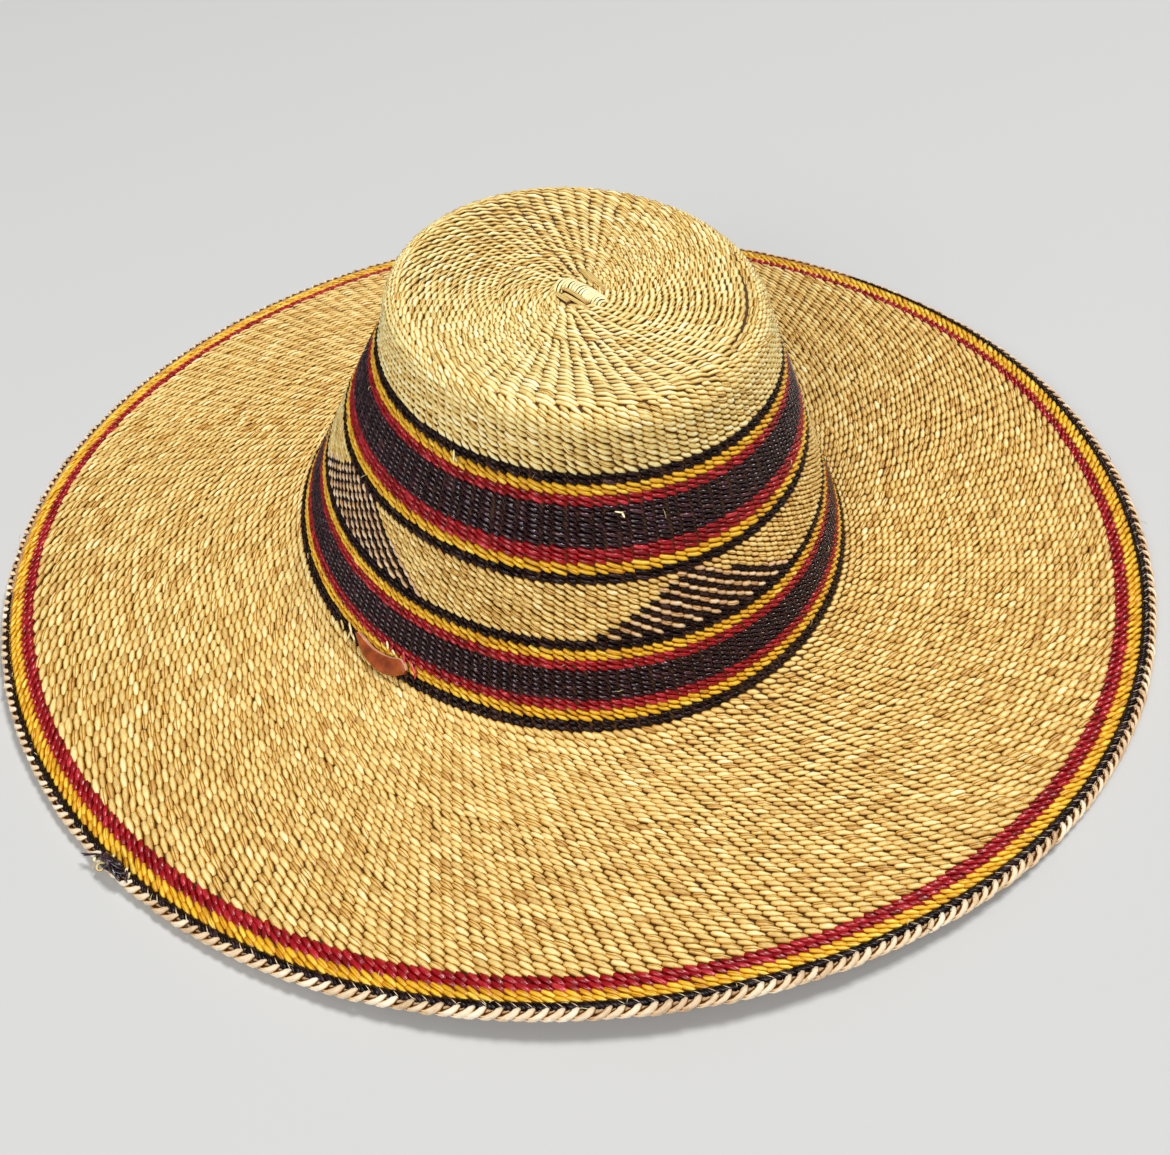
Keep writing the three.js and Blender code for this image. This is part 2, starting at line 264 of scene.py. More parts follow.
# The courses of stitches from the tip outwards: piece, dye, number of courses, their
# height against the others in the same stretch, and where the stretch ends
COURSES = (
    ("tip", "pale", 24, 1, CREST),
    ("tip", "pale", 12, 1, UPPER_BAND_TOP),
    *band_courses("upper_band", 8, 3, UPPER_BAND_FOOT),
    ("middle_belt", "triangles", 10, 1, LOWER_BAND_TOP),
    *band_courses("lower_band", 6, 2, FOOT),
    ("brim_inner", "natural", 16, 1, BRIM_SPLIT),
    ("brim_outer", "natural", 22, 1, STRIPES_START),
    ("stripes", "red", 2, 1.16, None),
    ("stripes", "gold", 2, 1, None),
    ("stripes", "black", 1, 0.6, STRIPES_END),
)

# Triangles of the middle belt, blunt at the top: azimuth of the foot's two ends and of
# the top's two ends, in degrees
TRIANGLES = ((272.5, 317, 290, 292.5), (184, 241.5, 205, 220), (104, 148, 122, 126), (8, 51, 26, 29))
# How much narrower the red stripe is than in front: azimuth, share
RED_NARROWED = (
    (0, 0.15), (30, 0.3), (60, 0.4), (90, 0.42), (130, 0.42), (172, 0.36), (190, 0.22),
    (210, 0.08), (235, 0), (320, 0), (345, 0.05), (360, 0.15),
)
# How much wider the golden stripe is than in front: azimuth, share
GOLD_WIDENED = (
    (0, 0.1), (30, 0.25), (60, 0.45), (90, 0.5), (130, 0.4), (160, 0.05), (180, -0.14),
    (210, -0.14), (235, 0), (320, 0), (345, 0.05), (360, 0.1),
)
RED_STRIPE_WIDTH = 3.87
GOLD_STRIPE_WIDTH = 3.33
# How far the rope is drawn in over the black row: azimuth, share of the row covered
BLACK_COVERED = (
    (0, 0.2), (20, 0.4), (40, 0.7), (60, 1), (184, 1), (196, 0.8), (208, 0.62), (226, 0.4),
    (250, 0.1), (265, 0), (325, 0), (345, 0.1), (360, 0.2),
)
ROPE_DRAWN_IN = 1.5

DYES = ("natural", "red", "gold", "purple", "edge", "black", "pale")


def turning(along):
    """How far the warps have turned around the hat by this distance along the wall."""
    stops = np.linspace(0, RIM, 600)
    lean = np.interp(stops, *np.array(WARP_LEAN).T)
    radius = np.interp(stops, CHAIN_ALONG, CHAIN[:, 0])
    radius = np.where(stops > BRIM_ROOT, CHAIN[-1, 0] + stops - BRIM_ROOT, radius)
    turned = np.concatenate(((0,), np.cumsum((lean / np.maximum(radius, 4))[:-1] * np.diff(stops))))
    return np.interp(along, stops, turned)


def column_edges(along):
    """Edges of the stitch columns around the hat at one course, as shares of a turn."""
    for start, stop, count, group, first_share, last_share in WARP_STAGES:
        if along <= stop:
            break
    if group == 1:
        return np.arange(count + 1) / count
    grown = (along - start) / (stop - start)
    widest = first_share + (last_share - first_share) * grown
    widths = np.full(group, (1 - widest) / (group - 1))
    widths[-1] = widest
    shares = np.tile(widths, count // group) / (count // group)
    return np.concatenate(((0,), np.cumsum(shares)))


def closeness_places():
    """Where equal steps of the brim's warps fall around the hat, as shares of a turn."""
    azimuth, closeness = np.array(WARP_CLOSENESS).T
    fine = np.linspace(0, 360, 721)
    passed = np.concatenate(((0,), np.cumsum(np.interp((fine[:-1] + fine[1:]) / 2, azimuth, closeness))))
    return passed / passed[-1], fine / 360


WARPS_PASSED, TURN_SHARE = closeness_places()


def brim_lean(along, theta):
    """Extra turning of the brim's warps at this place, in radians."""
    return by_azimuth(BRIM_LEAN, theta) * (along - BRIM_SPLIT) / MEAN_RIM


def course_list():
    """Every course: piece, dye, distance along the wall, height, its number and the stripe's count."""
    courses, start, stretch = [], CORE_EDGE, []
    for piece, dye, count, height, stop in COURSES:
        stretch += [(piece, dye, height, n, count) for n in range(count)]
        if stop is None:
            continue
        unit_height = (stop - start) / sum(row[2] for row in stretch)
        at = start
        for row_piece, row_dye, row_height, n, row_count in stretch:
            pitch = unit_height * row_height
            courses.append((row_piece, row_dye, at + pitch / 2, pitch, n, row_count))
            at += pitch
        start, stretch = stop, []
    return courses


def in_triangle(degrees, share):
    """How far a stitch lies inside a triangle, share 0 at the foot and 1 at the apex."""
    inside = np.full(degrees.shape, False)
    for left, right, top_left, top_right in TRIANGLES:
        low = left + (top_left - left) * share
        high = right + (top_right - right) * share
        inside |= ((degrees - low) % 360) < (high - low)
    return inside


def black_covered(theta):
    """Share of the black row that the rope covers."""
    return by_azimuth(BLACK_COVERED, theta)


def at_own_width(along, theta):
    """Where a course lies with the stripes as wide as they are there, and how its pitch changes."""
    gold = GOLD_STRIPE_WIDTH * (1 + by_azimuth(GOLD_WIDENED, theta))
    red = RED_STRIPE_WIDTH * (1 - by_azimuth(RED_NARROWED, theta))
    red_end = STRIPES_START + RED_STRIPE_WIDTH
    gold_end = red_end + GOLD_STRIPE_WIDTH
    places = (BRIM_SPLIT, STRIPES_START, red_end, gold_end)
    moved = (np.full(theta.shape, BRIM_SPLIT), gold_end - gold - red, gold_end - gold,
             np.full(theta.shape, gold_end))
    for k in range(3):
        if places[k] < along <= places[k + 1]:
            stretch = (moved[k + 1] - moved[k]) / (places[k + 1] - places[k])
            return moved[k] + (along - places[k]) * stretch, stretch
    return np.full(theta.shape, along), np.ones(theta.shape)


COURSE_LIST = course_list()
rng = np.random.default_rng(41)


def stitches_of(piece):
    """All stitches of a piece: where they lie, their size, slope, dye and tone."""
    rows = {k: [] for k in ("along", "theta", "width", "pitch", "dye")}
    for name, dye, along, pitch, n, count in COURSE_LIST:
        if name != piece:
            continue
        edges = column_edges(along)
        number = len(edges) - 1
        if FOOT < along < STRIPES_START:
            edges = np.interp(edges, WARPS_PASSED, TURN_SHARE)
        theta = (edges[:-1] + edges[1:]) / 2 * TURN + turning(along)
        if FOOT < along < STRIPES_START:
            theta += brim_lean(along, theta) - turning(BRIM_SPLIT)
        sizes = np.diff(edges) * TURN
        if dye == "triangles":
            share = 1 - (n + 0.5) / count
            inside = in_triangle(np.degrees(theta) % 360, share)
            dark = inside & ((np.arange(number) - n) % 2 == 1)
            codes = np.where(inside, DYES.index("edge"), DYES.index("natural"))
            codes = np.where(dark, DYES.index("black"), codes)
        else:
            codes = np.full(number, DYES.index(dye))
        moved, stretch = at_own_width(along, theta)
        if name == "stripes" and dye == "black":
            seen = black_covered(theta) < 0.5
            moved, stretch, theta, sizes, codes = (v[seen] for v in (moved, stretch, theta, sizes, codes))
        rows["along"].append(moved)
        rows["theta"].append(theta)
        rows["width"].append(sizes)
        rows["pitch"].append(pitch * stretch)
        rows["dye"].append(codes)
    return {k: np.concatenate(v) for k, v in rows.items()}


def deselect():
    for thing in bpy.context.selected_objects:
        thing.select_set(False)


def unrolled_corners(whole, faces):
    """Each corner's place on the unrolled spindle: share of its length, share around it."""
    places = []
    for face in faces:
        ends = [abs(whole[k, 0]) > 0.999 for k in face]
        angles = [math.atan2(whole[k, 2], whole[k, 1]) for k in face]
        first = angles[ends.index(False)]
        near = [first + math.remainder(a - first, TURN) for a in angles]
        inner = [a for a, at_end in zip(near, ends) if not at_end]
        middle = sum(inner) / len(inner)
        back = math.floor(middle / TURN) * TURN
        for k, a, at_end in zip(face, near, ends):
            places.append(((1 + whole[k, 0]) / 2, ((middle if at_end else a) - back) / TURN))
    return np.clip(places, 0, 1)


CELL_EDGE = 0.06


def cells(count):
    """Lower corners and width of the cells of a square that is shared by so many straws."""
    side = math.ceil(math.sqrt(count))
    number = np.arange(count)
    return np.stack((number % side, number // side), -1) / side, 1 / side


def in_cell(corner, size, places):
    return corner + (CELL_EDGE + places * (1 - 2 * CELL_EDGE)) * size


# How much fuller the one end of a stitch is than the other, and how far its ends bend sideways
UNEVEN_ENDS = 0.06
SIDE_BEND = 0.10


def model_stitch(name, around, rings, arch, blunt, tuck):
    """One straw stitch, 2 long, 2 wide and 2 thick: a plump spindle with its ends bent down."""
    deselect()
    bpy.ops.mesh.primitive_uv_sphere_add(segments=around, ring_count=rings, radius=1)
    grain = bpy.context.object
    grain.name = name
    bpy.ops.object.mode_set(mode="EDIT")
    bpy.ops.mesh.select_all(action="SELECT")
    bpy.ops.transform.rotate(value=math.pi / 2, orient_axis="Y", center_override=(0, 0, 0))
    bpy.ops.object.mode_set(mode="OBJECT")
    whole = np.array([v.co[:] for v in grain.data.vertices])
    for v in grain.data.vertices:
        end = v.co.x
        taper = 1 + (blunt - math.copysign(UNEVEN_ENDS, end)) * (1 - abs(end)) * abs(end) * 4
        v.co.y = v.co.y * taper + SIDE_BEND * end * abs(end)
        v.co.z = v.co.z * taper - arch * end ** 2 - tuck * end
    grain.data.update()
    points = np.array([v.co[:] for v in grain.data.vertices])
    faces = [tuple(p.vertices) for p in grain.data.polygons]
    bpy.data.objects.remove(grain, do_unlink=True)
    return points, faces, whole, unrolled_corners(whole, faces)


STITCH_OUTSIDE = model_stitch("stitch", 4, 4, 1.0, 0.24, 0.3)
STITCH_BAND = model_stitch("band_stitch", 4, 4, 1.3, 0.24, 0.3)
STITCH_TIP = model_stitch("tip_stitch", 4, 4, 1.75, 0.24, 0.25)
STITCH_INSIDE = model_stitch("stitch_inside", 3, 3, 0.8, 0.1, 0.2)


def mesh_object(name, points, faces, materials, codes=None, attributes=None, unrolled=None):
    """A mesh object from arrays in millimetres, sitting at the origin."""
    mesh = bpy.data.meshes.new(name)
    if isinstance(faces, list):
        faces = np.concatenate([np.asarray(f) for f in faces]), np.array([len(f) for f in faces])
    corners, sizes = faces
    mesh.vertices.add(len(points))
    mesh.vertices.foreach_set("co", (np.asarray(points) * MM).astype(np.float32).ravel())
    mesh.loops.add(len(corners))
    mesh.loops.foreach_set("vertex_index", corners.astype(np.int32))
    mesh.polygons.add(len(sizes))
    mesh.polygons.foreach_set("loop_start", np.concatenate(((0,), np.cumsum(sizes)[:-1])).astype(np.int32))
    if codes is not None:
        mesh.polygons.foreach_set("material_index", codes.astype(np.int32))
    mesh.polygons.foreach_set("use_smooth", np.full(len(sizes), True))
    if unrolled is not None:
        mesh.uv_layers.new(name="OFBake").data.foreach_set("uv", unrolled.astype(np.float32).ravel())
    for material in materials:
        mesh.materials.append(material)
    mesh.update(calc_edges=True)
    mesh.validate()
    for key, values in (attributes or {}).items():
        kind = "FLOAT_VECTOR" if values.ndim == 2 else "FLOAT"
        layer = mesh.attributes.new(key, kind, "POINT")
        layer.data.foreach_set("vector" if values.ndim == 2 else "value",
                               values.astype(np.float32).ravel())
    thing = bpy.data.objects.new(name, mesh)
    bpy.context.scene.collection.objects.link(thing)
    return thing


# Stands for the distance from a straw's parting line where it has none
NOT_SPLIT = 9.0
# Depth of the stitches' middle in the wall, and half their thickness
OUTSIDE_DEPTH, OUTSIDE_THICKNESS = 0.55, 0.72
INSIDE_DEPTH, INSIDE_THICKNESS = 1.62, 0.55
# The wall's layer of warps between them
WARPS_OUTER_DEPTH, WARPS_INNER_DEPTH = 0.8, 1.4
# How much single stitches differ: place in mm or in columns, slope and sizes as shares,
# depth in mm, parting line in half widths
STRAY = {"along": 0.07, "around": 0.035, "slope": 0.11, "length": 0.05, "breadth": 0.07,
         "height": 0.08, "depth": 0.05, "parting": 0.15}
# The fibres of each straw start at a place of their own, this far off at most, in mm
FIBRE_SPREAD = 40
# Dye: length against the column's diagonal, half width against the space between courses
SLENDER = {"natural": (1.48, 0.62), "pale": (1.48, 0.62), "red": (1.46, 0.62), "gold": (1.50, 0.63),
           "purple": (1.34, 0.62), "edge": (1.4, 0.6), "black": (1.36, 0.61)}
# Piece: how long its stitches are against the others
PIECE_LENGTH = {"tip": 1.0, "upper_band": 0.97, "middle_belt": 0.97, "lower_band": 1.0, "stripes": 1.15}


def lay_stitches(name, laid, template, depth, thickness, inward=False):
    """Copies of the modelled stitch joined into one mesh that follows the wall."""
    points, faces, whole, unrolled = template
    along, theta = laid["along"], laid["theta"]
    count = len(along)

    def varied(key, middle):
        return rng.normal(middle, STRAY[key], count)

    turned = outer_point(along, theta + SMALL_TURN) - outer_point(along, theta)
    width = laid["width"] * (np.linalg.norm(turned, axis=1) / SMALL_TURN)
    passed = outer_point(along + 0.5, theta) - outer_point(along - 0.5, theta)
    pitch = laid["pitch"] * np.linalg.norm(passed, axis=1)
    along = along + varied("along", 0)
    theta = theta + varied("around", 0) * laid["width"]
    place, down, around, out = wall_frame(along, theta)
    slope = np.arctan2(pitch, width) * varied("slope", 1)
    if name.startswith(("tip", "brim")):
        slope = slope * by_azimuth(TIP_SLANT if name.startswith("tip") else BRIM_SLANT, theta)
    if inward:
        slope = -slope
    stretch = np.array([SLENDER[DYES[code]] for code in laid["dye"]])
    stretch[:, 1] *= laid["fuller"]
    length = np.hypot(width, pitch) * stretch[:, 0] * laid["longer"] * varied("length", 1) / 2
    breadth = pitch * np.cos(slope) * stretch[:, 1] * varied("breadth", 1)
    height = thickness * varied("height", 1)
    axis = np.cos(slope)[:, None] * around + np.sin(slope)[:, None] * down
    side = np.cross(out, axis)
    laid_points = (place - out * (depth + varied("depth", 0))[:, None])[:, None]
    if inward:
        out, side = -out, -side
    sized = points * np.stack((length, breadth, height), -1)[:, None]
    for k, way in enumerate((axis, side, out)):
        laid_points = laid_points + way[:, None] * sized[..., k:k + 1]
    corners = np.concatenate(faces) + np.arange(count)[:, None] * len(points)
    fibre = sized + rng.uniform(-FIBRE_SPREAD, FIBRE_SPREAD, (count, 1, 3))
    split = np.where(laid["split"], varied("parting", 0), NOT_SPLIT)
    corner, size = cells(count)
    return mesh_object(
        name, laid_points.reshape(-1, 3), (corners.ravel(), np.tile([len(f) for f in faces], count)),
        STRAWS, np.repeat(laid["dye"], len(faces)),
        {"straw_tone": np.repeat(np.clip(laid["tone"], 0, 1), len(points)),
         "straw_fibre": fibre.reshape(-1, 3), "straw_end": np.tile(np.abs(points[:, 0]), count),
         "straw_rise": np.tile(whole[:, 2], count),
         "straw_split": (whole[:, 1] + split[:, None]).ravel()},
        in_cell(corner[:, None], size, unrolled[None]).reshape(-1, 2))


# Materials
def new_material(name):
    material = bpy.data.materials.new(name)
    material.use_nodes = True
    return material, material.node_tree, material.node_tree.nodes["Principled BSDF"]


def feed(tree, made, given):
    """Sets the inputs of a node, as values or by the sockets that feed them."""
    for key, value in given.items():
        if isinstance(value, bpy.types.NodeSocket):
            tree.links.new(value, made.inputs[key])
        else:
            made.inputs[key].default_value = value


def node(tree, kind, given=None, **settings):
    made = tree.nodes.new("ShaderNode" + kind)
    for key, value in settings.items():
        setattr(made, key, value)
    feed(tree, made, given or {})
    return made


def attribute(tree, name):
    return node(tree, "Attribute", attribute_name=name)


def noise(tree, place, scale, detail=2):
    return node(tree, "TexNoise", {"Vector": place, "Scale": scale, "Detail": detail}).outputs["Fac"]


def maths(tree, operation, *values):
    return node(tree, "Math", dict(enumerate(values)), operation=operation).outputs[0]


def mapped(tree, value, from_low, from_high, to_low, to_high):
    return node(tree, "MapRange", {"Value": value, "From Min": from_low, "From Max": from_high,
                                   "To Min": to_low, "To Max": to_high}).outputs[0]


def ramp(tree, value, first, last, *between):
    """A colour ramp through (position, colour) stops."""
    made = node(tree, "ValToRGB", {"Fac": value})
    for stop, (position, colour) in zip(made.color_ramp.elements, (first, last)):
        stop.position = position
        stop.color = (*colour, 1)
    for position, colour in between:
        made.color_ramp.elements.new(position).color = (*colour, 1)
    return made.outputs["Color"]


def fibre_group():
    """Fine lengthwise fibres of a straw, and larger blotches, as two masks."""
    group = bpy.data.node_groups.new("straw_fibres", "ShaderNodeTree")
    for name, usual in (("Across", 5), ("Lengthwise", 0.5)):
        socket = group.interface.new_socket(name, in_out="INPUT", socket_type="NodeSocketFloat")
        socket.default_value = usual
    for name in ("Streaks", "Blotches"):
        group.interface.new_socket(name, in_out="OUTPUT", socket_type="NodeSocketFloat")
    given = group.nodes.new("NodeGroupInput").outputs
    result = group.nodes.new("NodeGroupOutput")
    fibre = attribute(group, "straw_fibre").outputs["Vector"]
    scale = node(group, "CombineXYZ", {0: given["Lengthwise"], 1: given["Across"], 2: given["Across"]})
    stretched = node(group, "VectorMath", {0: fibre, 1: scale.outputs[0]}, operation="MULTIPLY")
    feed(group, result, {"Streaks": noise(group, stretched.outputs[0], 1, 3),
                         "Blotches": noise(group, fibre, 0.55)})
    return group


FIBRES = fibre_group()
# Painted shade at a straw's ends, flanks and parting line, as if its neighbours shaded it:
# what it multiplies the straw's colour by half way, a warm tinge partly the straw's own, and in full
HALF_SHADE_TINGE = (0.93, 0.62, 0.27)
SHADOW = (0.11, 0.042, 0.003)
FIBRE_RELIEF = 0.0002


def straw_material(name, dark, middle, light, end_shade, roughness, glint, shine):
    """Dyed or natural straw: its tone from stitch to stitch, streaks along it, and painted shade that
    darkens its ends, flanks and parting line.
    """
    material, tree, shader = new_material(name)
    fibres = node(tree, "Group", node_tree=FIBRES)
    feed(tree, fibres, {"Across": 4.5, "Lengthwise": 0.45})
    streaks = fibres.outputs["Streaks"]
    tone = maths(tree, "MULTIPLY_ADD", streaks, 0.9, attribute(tree, "straw_tone").outputs["Fac"])
    tone = maths(tree, "MULTIPLY_ADD", fibres.outputs["Blotches"], 0.5, tone)
    colour = ramp(tree, maths(tree, "SUBTRACT", tone, 0.7), (0.05, dark), (0.95, light), (0.5, middle))
    # Painted shade: flanks, ends and parting line darken as if shaded by the neighbouring straws
    flank_shade = mapped(tree, attribute(tree, "straw_rise").outputs["Fac"], 0.64, 0.1, 0.0, end_shade)
    end = mapped(tree, attribute(tree, "straw_end").outputs["Fac"], 0.45, 1.0, 0.0, end_shade * 0.8)
    parting = maths(tree, "ABSOLUTE", attribute(tree, "straw_split").outputs["Fac"])
    groove = mapped(tree, parting, 0.04, 0.26, end_shade * 0.85, 0.0)
    shade = maths(tree, "MAXIMUM", maths(tree, "MAXIMUM", flank_shade, end), groove)
    depth = ramp(tree, shade, (0.08, (1, 1, 1)), (1.0, SHADOW), (0.55, HALF_SHADE_TINGE))
    darker = node(tree, "Mix", {"Factor": 1.0}, data_type="RGBA", blend_type="MULTIPLY")
    feed(tree, darker, {"A": colour, "B": depth})
    relief = maths(tree, "MULTIPLY_ADD", groove, -1.2, streaks)
    bump = node(tree, "Bump", {"Strength": 0.35, "Distance": FIBRE_RELIEF, "Height": relief})
    feed(tree, shader, {"Base Color": darker.outputs["Result"], "Specular IOR Level": shine,
                        "Roughness": mapped(tree, streaks, 0, 1, roughness + glint, roughness - glint),
                        "Normal": bump.outputs[0]})
    return material


# Dyes: dark, middle and light straw, depth of the painted shade at the ends, flanks and
# parting line, roughness and how much it changes, shine
STRAWS = [straw_material(*row) for row in (
    ("natural_straw", (0.56, 0.345, 0.09), (0.86, 0.685, 0.26), (1.0, 0.97, 0.60), 1.0, 0.40, 0.12, 0.36),
    ("red_straw", (0.15, 0.001, 0.004), (0.37, 0.004, 0.012), (0.72, 0.06, 0.09), 0.8, 0.28, 0.08, 0.5),
    ("golden_straw", (0.60, 0.29, 0.010), (0.88, 0.56, 0.028), (1.0, 0.88, 0.18), 0.9, 0.34, 0.1, 0.42),
    # Purple and black straw: their light colour on the brightest streaks is partly paler fibres and partly
    # painted highlight, for glints on the glossy straw
    ("purple_straw", (0.006, 0.001, 0.003), (0.019, 0.003, 0.009), (0.12, 0.045, 0.066),
     0.85, 0.22, 0.08, 0.6),
    ("edge_straw", (0.50, 0.30, 0.15), (0.80, 0.62, 0.40), (0.97, 0.87, 0.68), 1.0, 0.5, 0.12, 0.3),
    ("black_straw", (0.004, 0.001, 0.001), (0.012, 0.004, 0.005), (0.10, 0.055, 0.06),
     0.8, 0.3, 0.08, 0.22),
    ("pale_straw", (0.58, 0.40, 0.12), (0.88, 0.76, 0.32), (1.0, 1.0, 0.68), 1.0, 0.40, 0.12, 0.36),
)]


def core_material():
    """The warps, near black as painted shade, since they show only in the shadowed gaps between the
    stitches.
    """
    material, tree, shader = new_material("shadowed_warps")
    patches = noise(tree, node(tree, "TexCoord").outputs["Object"], 900)
    colour = ramp(tree, patches, (0, (0.03, 0.010, 0.002)), (1, (0.10, 0.042, 0.010)))
    feed(tree, shader, {"Base Color": colour, "Roughness": 0.85})
    return material


CORE = core_material()


def leather_material(name, dark, light, roughness, wrinkle):
    material, tree, shader = new_material(name)
    place = node(tree, "TexCoord").outputs["Object"]
    fine = noise(tree, place, 900, 5)
    pores = node(tree, "TexVoronoi", {"Vector": place, "Scale": 1700}).outputs["Distance"]
    height = maths(tree, "MULTIPLY_ADD", pores, 0.6, fine)
    bump = node(tree, "Bump", {"Strength": wrinkle, "Distance": FIBRE_RELIEF, "Height": height})
    feed(tree, shader, {"Base Color": ramp(tree, noise(tree, place, 260, 4), (0.35, dark), (0.65, light)),
                        "Roughness": mapped(tree, fine, 0, 1, roughness + 0.12, roughness - 0.12),
                        "Normal": bump.outputs[0]})
    return material


LEATHER = leather_material("tanned_leather", (0.20, 0.030, 0.004), (0.42, 0.085, 0.010), 0.42, 0.4)
CUT_LEATHER = leather_material("cut_leather_edge", (0.62, 0.26, 0.13), (0.85, 0.48, 0.30), 0.7, 0.5)


def warps(name, from_along, to_along, steps, around=144, closed_tip=False):
    """The warps' layer between the outer and inner stitches, a thin closed wall."""
    alongs = np.linspace(from_along, to_along, steps + 1)
    theta = np.arange(around) / around * TURN
    loops = []
    for depth, order in ((WARPS_OUTER_DEPTH, alongs), (WARPS_INNER_DEPTH, alongs[::-1])):
        for a in order:
            p, _, _, out = wall_frame(np.full(around, max(a, 0.3)), theta)
            loops.append(p - out * depth)
    points = np.concatenate(loops)
    rings = len(loops)
    ring_pairs = [(k, k + 1) for k in range(rings - 1)]
    if not closed_tip:
        ring_pairs.append((rings - 1, 0))
    faces = [(a * around + j, b * around + j, b * around + (j + 1) % around, a * around + (j + 1) % around)
             for a, b in ring_pairs for j in range(around)]
    if closed_tip:
        faces.append(tuple(range(around)))
        faces.append(tuple((rings - 1) * around + j for j in range(around))[::-1])
    return mesh_object(name, points, faces, [CORE])


def hang(piece, slot, replaced=None):
    """Fixes a finished piece to the hat."""
    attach(piece, "root")
    if replaced:
        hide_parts(replaced)


# Usual tone of a straw, 0 dark to 1 light, how much it differs from stitch to stitch and
# how much it drifts over the hat
STRAW_TONE, TONE_SPREAD, TONE_DRIFT = 0.42, 0.12, 0.05
# The tip's straw is paler than the rest
PALER = {"tip": 0.12, "brim_inner": 0.03, "middle_belt": 0.02}
# Piece: share of its stitches whose straw is parted lengthwise
PARTED = {"tip": 0.75, "upper_band": 0.15, "middle_belt": 0.15, "lower_band": 0.15, "stripes": 0.3}


def woven_piece(name, piece, slot, replaced):
    laid = stitches_of(piece)
    count = len(laid["along"])
    drift = np.sin(laid["along"] * 2.1 + np.sin(laid["theta"] * 3) * 2) * TONE_DRIFT
    laid["tone"] = rng.normal(STRAW_TONE + PALER.get(piece, 0), TONE_SPREAD, count) + drift
    laid["longer"] = PIECE_LENGTH.get(piece, 1.0)
    dark = laid["dye"] == DYES.index("black")
    laid["fuller"] = np.where(dark, 0.95, 1.03) if piece == "middle_belt" else 1.0
    parted = PARTED.get(piece, 0.22)
    if piece == "tip":
        radius = np.interp(laid["along"], CHAIN_ALONG, CHAIN[:, 0])
        # Painted shade: stitches lying in the crease behind the right shoulder are made darker
        laid["tone"] -= 0.3 * crease_share(radius, laid["theta"])
        # in front of the tip the straw is whole, at its sides it is drawn out
        parted = parted * (0.55 - 0.45 * np.cos(laid["theta"] + TURN / 4))
        sideways = np.cos(laid["theta"]) ** 2 * (laid["along"] < CREST)
        laid["longer"] = laid["longer"] + 0.22 * sideways
        laid["fuller"] = 1 - 0.12 * sideways
    laid["split"] = rng.random(count) < parted
    shape = STITCH_BAND if piece.endswith("band") else STITCH_TIP if piece == "tip" else STITCH_OUTSIDE
    hang(lay_stitches(name, laid, shape, OUTSIDE_DEPTH, OUTSIDE_THICKNESS), slot, replaced)
    hang(lay_stitches(name + "_inside", laid, STITCH_INSIDE, INSIDE_DEPTH, INSIDE_THICKNESS, inward=True),
         slot)


for row in (
        ("tip_stitches", "tip", "tip_straw", "crown_tip"),
        ("upper_band_stitches", "upper_band", "upper_band_straw", "upper_band"),
        ("middle_belt_stitches", "middle_belt", "belt_straw", "middle_belt"),
        ("lower_band_stitches", "lower_band", "lower_band_straw", "lower_band"),
        ("brim_inner_stitches", "brim_inner", "brim_straw", "brim"),
        ("brim_outer_stitches", "brim_outer", "brim_straw", None),
        ("rim_stripe_stitches", "stripes", "rim_stripe_straw", "rim_stripes")):
    woven_piece(*row)


# Rope, knot and loose straws: strands that follow a path
def wall_path(stops):
    """Points of a path given by distance along, azimuth in degrees and height over the stitches."""
    along, azimuth, lift = np.array(stops, float).T
    place, _, _, out = wall_frame(along, np.radians(azimuth))
    return place + out * lift[:, None]


# How far a strand's end is pointed, as a share of its width there
END_CAP = 0.4
# Where a strand's first and last ring lie on its unrolled skin
FIRST_RING, LAST_RING = 0.06, 0.94


